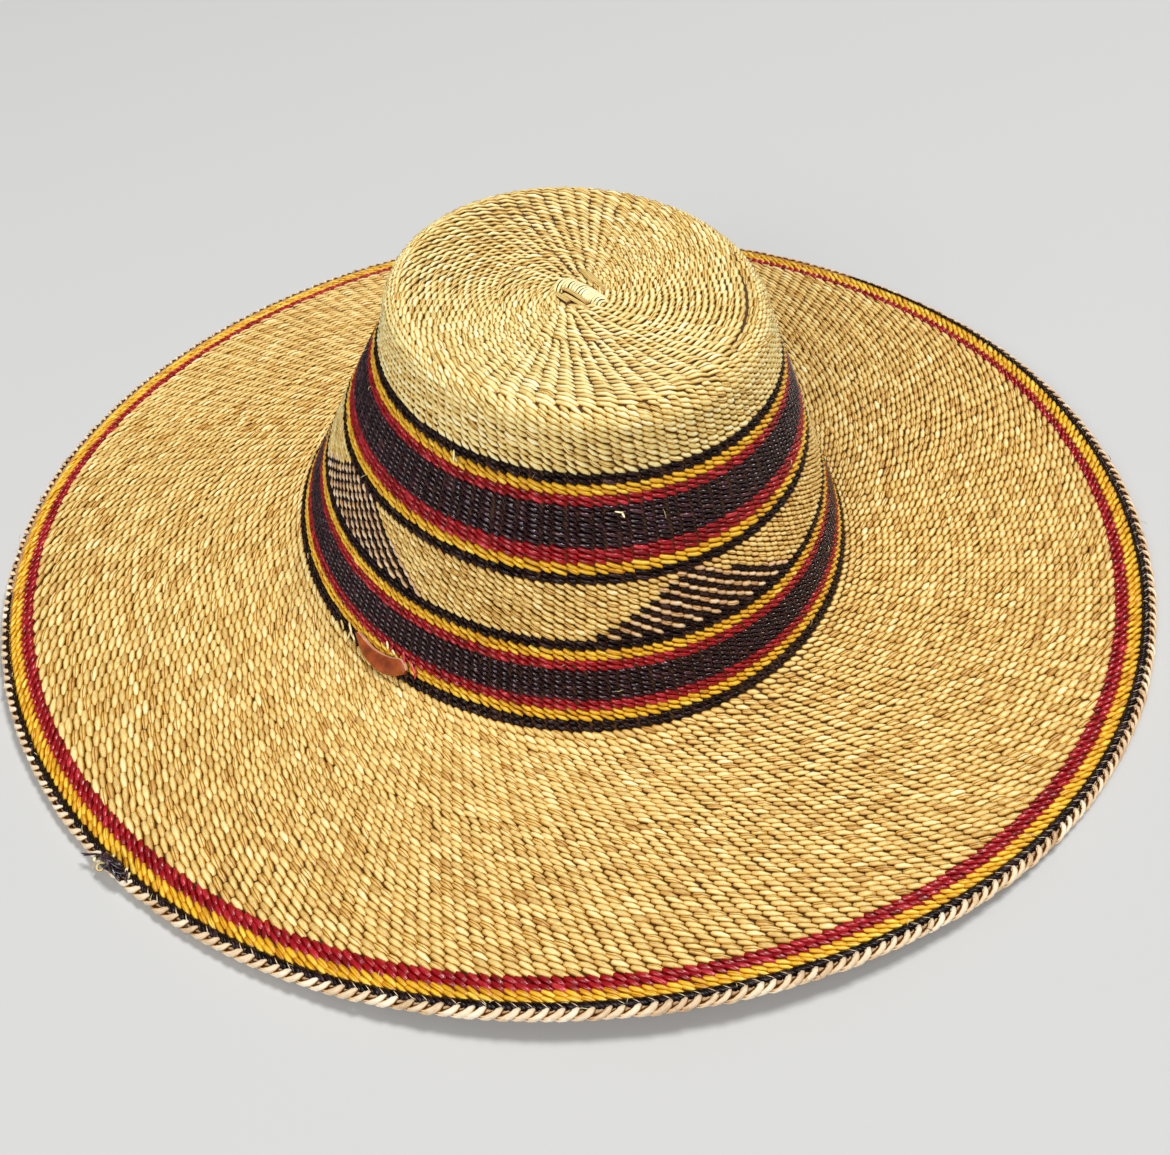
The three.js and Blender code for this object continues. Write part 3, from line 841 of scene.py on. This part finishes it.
def strand(path, width, thickness, dye, tone, up=(0, 0, 1), sides=6, taper=0.25):
    """One straw along a path, flat against 'up', thinned at its ends."""
    path = np.asarray(path, float)
    count = len(path)
    ahead = unit(np.gradient(path, axis=0))
    up = np.broadcast_to(np.asarray(up, float), path.shape)
    side = unit(np.cross(up, ahead))
    out = np.cross(ahead, side)
    share = np.linspace(0, 1, count)
    fullness = 1 - (1 - taper) * np.abs(2 * share - 1) ** 3
    wide = np.broadcast_to(np.asarray(width, float), (count,))
    thick = np.broadcast_to(np.asarray(thickness, float), (count,))
    angles = np.arange(sides) / sides * TURN
    rings = (path[:, None]
             + side[:, None] * (np.cos(angles)[None] * (fullness * wide)[:, None] / 2)[..., None]
             + out[:, None] * (np.sin(angles)[None] * (fullness * thick)[:, None] / 2)[..., None])
    length = np.concatenate(((0,), np.cumsum(np.linalg.norm(np.diff(path, axis=0), axis=1))))
    ends = np.stack([path[k] + ahead[k] * way * wide[k] * taper * END_CAP for k, way in ((0, -1), (-1, 1))])
    points = np.concatenate((rings.reshape(-1, 3), ends))
    faces, unrolled = [], []
    reached = np.linspace(FIRST_RING, LAST_RING, count)
    for k in range(count - 1):
        ring, following = k * sides, (k + 1) * sides
        for j in range(sides):
            n = (j + 1) % sides
            faces.append((ring + j, ring + n, following + n, following + j))
            unrolled += [(reached[k], j / sides), (reached[k], (j + 1) / sides),
                         (reached[k + 1], (j + 1) / sides), (reached[k + 1], j / sides)]
    first = count * sides
    for j in range(sides):
        n = (j + 1) % sides
        faces += [(first, n, j), (first + 1, first - sides + j, first - sides + n)]
        unrolled += [(0, (j + 0.5) / sides), (reached[0], (j + 1) / sides), (reached[0], j / sides),
                     (1, (j + 0.5) / sides), (reached[-1], j / sides), (reached[-1], (j + 1) / sides)]
    rise = np.concatenate((np.tile(np.sin(angles), count), (0.5, 0.5)))
    end = np.concatenate((np.repeat(np.abs(2 * share - 1) * 0.75, sides), (0.9, 0.9)))
    fibre = np.stack((np.concatenate((np.repeat(length, sides), (0, length[-1]))),
                      np.concatenate((np.outer(wide, np.cos(angles)).ravel() / 2, (0, 0))),
                      np.concatenate((np.outer(thick, np.sin(angles)).ravel() / 2, (0, 0)))), -1)
    fibre += rng.uniform(-FIBRE_SPREAD, FIBRE_SPREAD, 3)
    return {"points": points, "faces": faces, "dye": [DYES.index(dye)] * len(faces),
            "unrolled": np.array(unrolled), "straw_tone": np.full(len(points), tone), "straw_fibre": fibre,
            "straw_end": end, "straw_rise": rise, "straw_split": np.full(len(points), NOT_SPLIT)}


def strand_piece(name, strands, slot, replaced=None):
    """Strands joined into one mesh piece of the hat."""
    strands = list(strands)
    offsets = np.cumsum([0] + [len(s["points"]) for s in strands])
    faces = [tuple(k + offset for k in f) for s, offset in zip(strands, offsets) for f in s["faces"]]
    corners, size = cells(len(strands))
    for s, corner in zip(strands, corners):
        s["unrolled"] = in_cell(corner, size, s["unrolled"])
    joined = {key: np.concatenate([s[key] for s in strands]) for key in strands[0] if key != "faces"}
    attributes = {key: joined[key] for key in joined if key.startswith("straw_")}
    hang(mesh_object(name, joined["points"], faces, STRAWS, joined["dye"], attributes, joined["unrolled"]),
         slot, replaced)


ROPE_LOBES = 340
# The rope's middle: how far inside the rim, and how deep under the outer surface
ROPE_INSET, ROPE_DEPTH = 1.45, 0.95
ROPE_STRAW = np.array((1.7, 1.25))
ROPE_CORE = 1.6
# One lobe of the rope: angle around the edge, place along the rim in lobes, share of
# its width, distance from the edge's middle in millimetres
LOBE = (
    (118, 0.74, 0.40, 0.9), (88, 0.64, 0.75, 1.2), (52, 0.44, 1.0, 1.4), (18, 0.10, 1.12, 1.5),
    (-10, -0.36, 1.1, 1.45), (-36, -0.84, 0.85, 1.15), (-75, -1.2, 0.5, 0.6),
)
# How far the two straws of a lobe lie apart: along the rim in lobes, around the edge in degrees
TWIN_GAP = (0.30, 26)


def rope_middle(theta):
    """The rope's middle, and the directions down the wall and outward."""
    place, down, _, out = wall_frame(RIM - ROPE_INSET - ROPE_DRAWN_IN * black_covered(theta), theta)
    return place - out * ROPE_DEPTH, down, out


def rim_rope():
    """The natural strand that wraps the hat's edge, in slanted lobes of two straws."""
    start = turning(RIM)
    degrees, lean, share, away = np.array(LOBE).T
    for lobe in range(ROPE_LOBES):
        size = rng.normal(1, 0.08)
        middle = (lobe + rng.normal(0, 0.07)) / ROPE_LOBES * TURN + start
        reach = (away + rng.normal(0, 0.08))[:, None]
        tone = rng.normal(0.55, 0.13)
        for pair in (-0.5, 0.5):
            theta = middle + (lean + pair * TWIN_GAP[0] * share) / ROPE_LOBES * TURN
            angles = np.radians(degrees + pair * TWIN_GAP[1] * share)
            place, down, out = rope_middle(theta)
            ways = down * np.cos(angles)[:, None], out * np.sin(angles)[:, None]
            width, thickness = ROPE_STRAW[:, None] * share * size
            own_tone = np.clip(tone + rng.normal(0, 0.1), 0, 1)
            path = place + ways[0] * reach + ways[1] * reach
            yield strand(path, width, thickness, "edge", own_tone, ways[0] + ways[1], sides=5, taper=0.6)
    place, _, out = rope_middle(np.linspace(0, TURN, ROPE_LOBES + 1) + start)
    yield strand(place, ROPE_CORE, ROPE_CORE, "edge", 0.0, out, sides=8, taper=1.0)


# The black row beside the rope: places along from the rim and heights over the wall
BLACK_ROW = ((3.8, -0.5), (3.2, 0.10), (2.55, 0.20), (1.95, 0.10), (1.4, -0.4))
# Width and thickness of its straws and of the thin pale strands that paint a highlight on them, and how far
# such a strand lies above them
BLACK_STRAW, GLINT_STRAND, GLINT_LIFT = (1.1, 0.75), (0.3, 0.2), 0.42
# From these shares of the row covered, it has no straws and no painted highlight strands
NO_STRAWS, NO_GLINTS = 0.85, 0.3


def rim_black_row():
    """Black straws leaning the other way just inside the rope, with a thin pale strand between some that
    paints a highlight on them.
    """
    start = turning(RIM)
    back, lift = np.array(BLACK_ROW).T
    lean = np.linspace(-0.5, 0.5, len(BLACK_ROW))
    for lobe in range(ROPE_LOBES):
        for part in (0.0, 0.34, 0.67):
            theta = (lobe + part + lean + rng.normal(0, 0.05)) / ROPE_LOBES * TURN + start
            covered = black_covered(theta)
            if covered.max() > NO_STRAWS:
                continue
            inward = back[-1] + ROPE_DRAWN_IN * covered + (back - back[-1]) * (1 - covered)
            place, _, _, out = wall_frame(RIM - inward, theta)
            path = place + out * (lift + rng.normal(0, 0.06))[:, None]
            yield strand(path, *BLACK_STRAW, "black", rng.uniform(0, 0.6), out, sides=4, taper=0.5)
        # Painted highlight: a thin pale strand over the black straws stands for their glint
        theta = (lobe + 0.5 + lean[1:4] * 0.9) / ROPE_LOBES * TURN + start
        if rng.random() < 0.75 and black_covered(theta).max() < NO_GLINTS:
            place, _, _, out = wall_frame(RIM - back[1:4], theta)
            path = place + out * (lift[1:4] + GLINT_LIFT)[:, None]
            yield strand(path, *GLINT_STRAND, "edge", 1.0, out, sides=3, taper=0.4)


# The knot's straws: distance along, azimuth and height of both ends
KNOT_STRANDS = (
    (236.0, 229.3, 0.5, 238.6, 231.4, 1.6), (236.6, 231.6, 0.4, 237.8, 229.0, 2.0),
    (237.4, 228.8, 0.6, 236.4, 231.2, 1.9), (235.6, 230.4, 0.2, 239.2, 230.0, 1.4),
    (238.6, 228.6, 0.2, 236.6, 230.6, 2.4), (236.9, 229.6, 1.0, 238.9, 231.8, 0.6),
    (235.9, 231.0, 0.6, 238.2, 229.4, 2.2), (237.9, 231.6, 0.4, 236.2, 229.0, 1.3),
    (239.0, 229.2, 0.2, 237.0, 231.9, 1.2), (236.3, 228.9, 0.9, 237.9, 230.4, 2.5),
)
# Its tails: distance along, azimuth and height of their points
KNOT_TAILS = (
    ((237.0, 229.2, 1.2), (238.0, 228.5, 1.5), (239.0, 228.0, 1.4), (240.0, 227.6, 1.6)),
    ((237.2, 229.0, 1.0), (238.3, 228.2, 0.9), (239.3, 227.7, 0.8), (240.2, 227.1, 0.9)),
    ((236.2, 231.6, 1.2), (237.0, 232.1, 1.5), (237.8, 232.2, 1.2), (238.2, 232.5, 0.8)),
)
# Where these points are seated: further out, turned and raised by this
KNOT_SEAT = (1.2, 0.6, 0.5)
# Width and thickness of the straws that wind, hang loose, make a pale loop and stick out
WOUND_STRAW, TAIL_STRAW, LOOP_STRAW, END_STRAW = (1.35, 0.95), (0.7, 0.45), (0.9, 0.6), (0.9, 0.5)


def knot_path(stops, steps=3):
    return smooth_path(wall_path(np.array(stops) + KNOT_SEAT), steps)


def knot():
    """Dark straws wound over the rope, with their tails and a few pale ends."""
    for a0, t0, l0, a1, t1, l1 in KNOT_STRANDS:
        middle = ((a0 + a1) / 2 + rng.normal(0, 0.3), (t0 + t1) / 2, max(l0, l1) + 0.5)
        path = knot_path(((a0, t0, l0), middle, (a1, t1, l1)))
        yield strand(path, *WOUND_STRAW, "purple", rng.uniform(0.2, 0.7), taper=0.35)
    for tail in KNOT_TAILS:
        yield strand(knot_path(tail), *TAIL_STRAW, "purple", rng.uniform(0.4, 0.8), taper=0.2)
    loop = [(239.4 + 1.0 * math.cos(k * 0.9), 229.3 + 0.32 * math.sin(k * 0.9), 0.2) for k in range(8)]
    yield strand(knot_path(loop, 2), *LOOP_STRAW, "natural", 0.7, taper=0.6)
    for a, t in ((235.7, 231.3), (236.2, 231.8), (238.4, 228.2), (235.4, 229.4)):
        path = knot_path(((a, t, 0.1), (a + 0.4, t + 0.25, 0.9), (a + 1.1, t + 0.4, 0.6)))
        yield strand(path, *END_STRAW, "natural", 0.85, taper=0.5)


# Middle of the tip, seen from above in mm: straws that cross the first bundle of warps
CROSSING_STRAWS = (
    (-3.8, 1.2, -0.5, 8.6), (-2.4, 0.6, 2.1, 8.4), (-0.5, 2.4, 3.0, 6.9), (1.1, 1.4, 4.4, 5.4),
    (1.8, -0.1, 5.8, 4.4), (2.9, -1.5, 7.2, 2.4), (4.3, -2.5, 8.5, 0.9), (4.7, -4.4, 9.2, -0.1),
    (5.6, -5.4, 10.1, -1.5), (6.8, -5.0, 11.0, -2.5), (7.9, -6.0, 11.7, -3.9), (9.2, -8.7, 12.1, -6.2),
)
# Brown bundles beside them: three points, width, height
BUNDLES = (
    (4.1, 14.2, 5.9, 9.6, 8.4, 4.7, 1.5, 1.1), (5.4, 13.0, 7.8, 8.0, 11.8, 0.4, 1.5, 0.9),
    (-2.2, 2.8, 1.6, -1.2, 6.0, -6.8, 1.3, 0.9), (-1.5, -0.6, 1.3, -4.2, 5.4, -8.8, 1.3, 0.6),
    (-3.8, 0.4, -1.8, -2.9, 0.4, -5.6, 1.3, 0.5), (0.2, -7.6, 3.0, -8.4, 6.7, -10.4, 1.2, 0.4),
)


TIP_MIDDLE = outer_point(0.1, 0.0)
# How deep the ends of the crossing straws lie under the tip's surface
CROSSING_DEPTH = 0.6
CROSSING_STRAW = (1.02, 0.95)


def tip_height(x, y):
    """Height of the tip's outer surface over a point near its middle."""
    along = math.hypot(x - TIP_MIDDLE[0], y - TIP_MIDDLE[1])
    return outer_point(along, math.atan2(y - TIP_MIDDLE[1], x - TIP_MIDDLE[0]))[2]


def tip_crossing():
    """Pale straws across the tip's middle, and the brown bundles that come out beside them."""
    stops = np.linspace(0, len(CROSSING_STRAWS) - 1, 17)
    columns = np.array(CROSSING_STRAWS).T
    for x0, y0, x1, y1 in zip(*(np.interp(stops, range(len(CROSSING_STRAWS)), c) for c in columns)):
        across = np.array((y0 - y1, x1 - x0)) / math.hypot(x1 - x0, y1 - y0)
        path = []
        for share in np.linspace(-0.12, 1.12, 7):
            bow = 1 - (2 * share - 1) ** 2
            x = x0 + (x1 - x0) * share + across[0] * bow * 0.7
            y = y0 + (y1 - y0) * share + across[1] * bow * 0.7
            path.append((x, y, tip_height(x, y) - CROSSING_DEPTH + 0.65 * bow))
        yield strand(path, *CROSSING_STRAW, "pale", rng.uniform(0.55, 0.85), sides=8, taper=0.6)
    for x0, y0, x1, y1, x2, y2, width, height in BUNDLES:
        line = smooth_path(np.array(((x0, y0), (x1, y1), (x2, y2))), 4)
        for part in np.linspace(-0.5, 0.5, 6):
            path = []
            for k, (x, y) in enumerate(line):
                share = k / (len(line) - 1)
                ahead = line[min(k + 1, len(line) - 1)] - line[max(k - 1, 0)]
                ahead = ahead / np.linalg.norm(ahead)
                x, y = x - ahead[1] * width * part, y + ahead[0] * width * part
                hump = math.sin(math.pi * share) ** 0.6
                rise = (height - 1.2 * part * part) * hump
                path.append((x, y, tip_height(x, y) - CROSSING_DEPTH + rise))
            yield strand(path, width * 0.27, 0.45, "natural", rng.uniform(0.1, 0.55), taper=0.4)


# The straws inside the tip: radius of the patch they fill, their middle's depth, direction
INSIDE_REACH, INSIDE_STRAW_DEPTH = 7.9, 1.9
INSIDE_STRAW = (1.16, 0.9)
INSIDE_AHEAD, INSIDE_ASIDE = np.array((0.64, 0.77)), np.array((-0.77, 0.64))


def tip_inside():
    """Straws that close the tip's middle on the inside."""
    for offset in np.linspace(-6.6, 6.6, 13):
        half = math.sqrt(INSIDE_REACH ** 2 - offset ** 2)
        path = []
        for share in np.linspace(-1, 1, 5):
            x, y = TIP_MIDDLE[:2] + INSIDE_AHEAD * half * share + INSIDE_ASIDE * offset
            path.append((x, y, tip_height(x, y) - INSIDE_STRAW_DEPTH + 0.3 * share ** 2))
        yield strand(path, *INSIDE_STRAW, "natural", rng.uniform(0.3, 0.6), (0, 0, -1), taper=0.5)


# Leather tab: azimuth, top edge and bottom edge as distances along the wall
TAB_OUTLINE = (
    (228.5, 145.6, 146.4), (229.3, 145.6, 147.6), (230.5, 145.8, 149.2), (231.8, 146.1, 150.4),
    (233.2, 146.3, 151.2), (234.7, 146.1, 151.6), (236.0, 145.7, 151.6), (237.3, 145.2, 151.2),
    (238.6, 144.4, 150.4), (239.8, 143.8, 149.3), (240.7, 144.6, 148.0), (241.4, 145.9, 147.2),
)
TAB_THICKNESS, TAB_LIFT, TAB_EASE, TAB_ROWS = 1.4, 0.35, 0.5, 9


def leather_tab():
    """Half-moon flap of leather, rounded at its edge, lying over the crown's foot."""
    table = smooth_path(np.array(TAB_OUTLINE, float), 3)
    columns = len(table)
    last = columns - 1
    # the leather bridges the bend at the foot instead of creasing into it
    lift = TAB_LIFT + np.sin(np.linspace(0, math.pi, TAB_ROWS)) * TAB_EASE
    outer, inner = [], []
    for azimuth, top, bottom in table:
        theta = np.full(TAB_ROWS, math.radians(azimuth))
        place, _, _, out = wall_frame(np.linspace(top, bottom, TAB_ROWS), theta)
        outer.append(place + out * (TAB_THICKNESS + lift)[:, None])
        inner.append(place + out * lift[:, None])
    half = columns * TAB_ROWS
    faces = []
    for i in range(last):
        for a in range(i * TAB_ROWS, (i + 1) * TAB_ROWS - 1):
            b = a + TAB_ROWS
            faces += [(a, a + 1, b + 1, b), (half + a, half + b, half + b + 1, half + a + 1)]
    codes = [0] * len(faces)
    border = [i * TAB_ROWS for i in range(columns)]
    border += [last * TAB_ROWS + j for j in range(1, TAB_ROWS)]
    border += [i * TAB_ROWS + TAB_ROWS - 1 for i in reversed(range(last))]
    border += list(reversed(range(1, TAB_ROWS - 1)))
    for k, a in enumerate(border):
        b = border[(k + 1) % len(border)]
        faces.append((a, b, half + b, half + a))
        codes.append(1 if k < last else 0)
    tab = mesh_object("leather_tab_piece", np.concatenate(outer + inner), faces, [LEATHER, CUT_LEATHER],
                      np.array(codes))
    deselect()
    tab.select_set(True)
    bpy.context.view_layer.objects.active = tab
    bpy.ops.object.mode_set(mode="EDIT")
    bpy.ops.mesh.select_all(action="SELECT")
    bpy.ops.mesh.normals_make_consistent(inside=False)
    bpy.ops.object.mode_set(mode="OBJECT")
    soften = tab.modifiers.new("soft_edges", "BEVEL")
    soften.width = 0.3 * MM
    soften.segments = 2
    soften.limit_method = "ANGLE"
    soften.angle_limit = math.radians(50)
    bpy.ops.object.modifier_apply(modifier=soften.name)
    bpy.ops.object.shade_smooth_by_angle(angle=math.radians(60))
    return tab


# Pulled and broken straws: distance along, azimuth, length, turn from the course, dye, tone
LOOSE_STRAWS = (
    (89.2, 277.5, 2.2, 10, "natural", 1.0), (89.9, 278.3, 1.6, 70, "natural", 0.9),
    (81.9, 240.3, 3.0, 60, "natural", 0.9), (82.6, 241.0, 2.4, 20, "natural", 0.8),
    (142.9, 235.8, 2.6, 35, "natural", 1.0), (143.5, 237.3, 3.2, 10, "natural", 0.95),
    (143.2, 239.9, 3.4, 50, "red", 0.9), (144.6, 242.2, 4.2, 35, "red", 0.95),
    (145.6, 242.9, 3.2, 60, "red", 0.7), (143.0, 236.8, 2.2, 80, "red", 0.6),
    (148.7, 223.6, 4.2, 15, "natural", 0.4), (147.5, 226.0, 5.0, 25, "natural", 0.7),
    (148.6, 227.2, 5.4, 12, "natural", 1.0), (149.4, 226.4, 3.4, 60, "natural", 0.6),
)


def astray(along, azimuth, length, turned, shares):
    """Places of a straw that leaves its course: distances along and azimuths."""
    radius = max(20, np.linalg.norm(outer_point(along, math.radians(azimuth))[:2]))
    return [(along + share * length * math.sin(turned),
             azimuth + math.degrees(share * length * math.cos(turned) / radius)) for share in shares]


# Width and thickness of a loose straw
LOOSE_STRAW = (0.75, 0.4)


def loose_straws():
    """Single straws pulled out of their course, each rising towards its end."""
    shares, lifts = (-0.5, -0.2, 0.15, 0.5), (0.15, 0.381, 0.6505, 1.25)
    for along, azimuth, length, degrees, dye, tone in LOOSE_STRAWS:
        places = astray(along, azimuth, length, math.radians(degrees), shares)
        path = wall_path([(a, t, lift) for (a, t), lift in zip(places, lifts)])
        yield strand(smooth_path(path, 2), *LOOSE_STRAW, dye, tone, taper=0.35)


# Number of stray fibres, how far along they start on the rim and elsewhere, and the
# furthest that they reach; depth of their root
FIBRE_NUMBER = 260
FIBRES_AT_RIM, FIBRES_ELSEWHERE, FIBRES_END = (237.5, 241), (20, 236), 242.5
FIBRE_ROOT = 0.3
STRAY_FIBRE = (0.22, 0.18)


def stray_fibres():
    """Fine hairs that stand off the weave, most of them at the rim."""
    shares = (0, 0.35, 0.7, 1)
    for k in range(FIBRE_NUMBER):
        at_rim = k % 5 < 3
        along = rng.uniform(*(FIBRES_AT_RIM if at_rim else FIBRES_ELSEWHERE))
        azimuth = rng.uniform(0, 360)
        turned = rng.uniform(0, TURN)
        length = rng.uniform(1.6, 3.2)
        lift = rng.uniform(0.3, 1.1)
        places = astray(along, azimuth, length, turned, shares)
        path = [(min(a, FIBRES_END), t, -FIBRE_ROOT + (lift + FIBRE_ROOT) * math.sin(share * 2.2))
                for (a, t), share in zip(places, shares)]
        dye = "natural" if rng.uniform() < 0.8 or not at_rim else "purple"
        yield strand(wall_path(path), *STRAY_FIBRE, dye, rng.uniform(0.6, 1), sides=3, taper=0.3)


strand_piece("rim_rope", rim_rope(), "braid_straw", "rim_braid")
strand_piece("rim_black_row", rim_black_row(), "braid_straw")
strand_piece("rim_knot", knot(), "knot_straw", "frayed_knot")
strand_piece("tip_crossing", tip_crossing(), "tip_straw")
strand_piece("tip_inside_crossing", tip_inside(), "tip_straw")
hang(leather_tab(), "tab_leather", "leather_tab")
strand_piece("loose_straws", loose_straws(), "belt_straw")
strand_piece("stray_fibres", stray_fibres(), "braid_straw")
hang(warps("crown_warps", 0.3, FOOT, 60, closed_tip=True), "tip_straw")
hang(warps("brim_warps", FOOT + 0.2, STRIPES_END, 30), "brim_straw")


# Floor, light and camera
def make_floor():
    deselect()
    bpy.ops.mesh.primitive_plane_add(size=6, location=(0, 0, 0))
    floor = bpy.context.object
    floor.name = "floor"
    material, tree, shader = new_material("pale_floor")
    feed(tree, shader, {"Base Color": (0.58, 0.58, 0.57, 1), "Roughness": 0.8, "Specular IOR Level": 0.2})
    floor.data.materials.append(material)


# Lights point at the middle of the hat
LIT_PLACE = Vector((0, 0, 0.03))


def area_light(name, place, size, power):
    lamp = bpy.data.lights.new(name, "AREA")
    lamp.energy = power
    lamp.size = size
    thing = bpy.data.objects.new(name, lamp)
    thing.location = place
    thing.rotation_euler = (LIT_PLACE - Vector(place)).to_track_quat("-Z", "Y").to_euler()
    bpy.context.scene.collection.objects.link(thing)


def make_camera():
    """The photograph's view: place and directions in the hat's frame."""
    place = Vector((4.23, -316.47, 258.56)) * MM
    right = Vector((0.99956, -0.01712, -0.02426))
    up = Vector((0.02943, 0.68096, 0.73173))
    back = right.cross(up)
    data = bpy.data.cameras.new("camera")
    data.sensor_fit = "HORIZONTAL"
    data.sensor_width = 36
    data.lens = 35.738
    data.clip_start = 0.01
    camera = bpy.data.objects.new("camera", data)
    turn = Matrix((right, up, back)).transposed()
    camera.matrix_world = Matrix.Translation(place) @ turn.to_4x4()
    bpy.context.scene.collection.objects.link(camera)
    bpy.context.scene.camera = camera


make_floor()
area_light("window", (1.9, 1.1, 4.6), 1.2, 202)
area_light("front_wall", (-1.2, -2.4, 2.0), 2.0, 74)
world = bpy.data.worlds.new("room")
world.use_nodes = True
feed(world.node_tree, world.node_tree.nodes["Background"], {"Color": (1, 1, 1, 1), "Strength": 0.18})
bpy.context.scene.world = world
bpy.context.scene.view_settings.view_transform = "Standard"
make_camera()
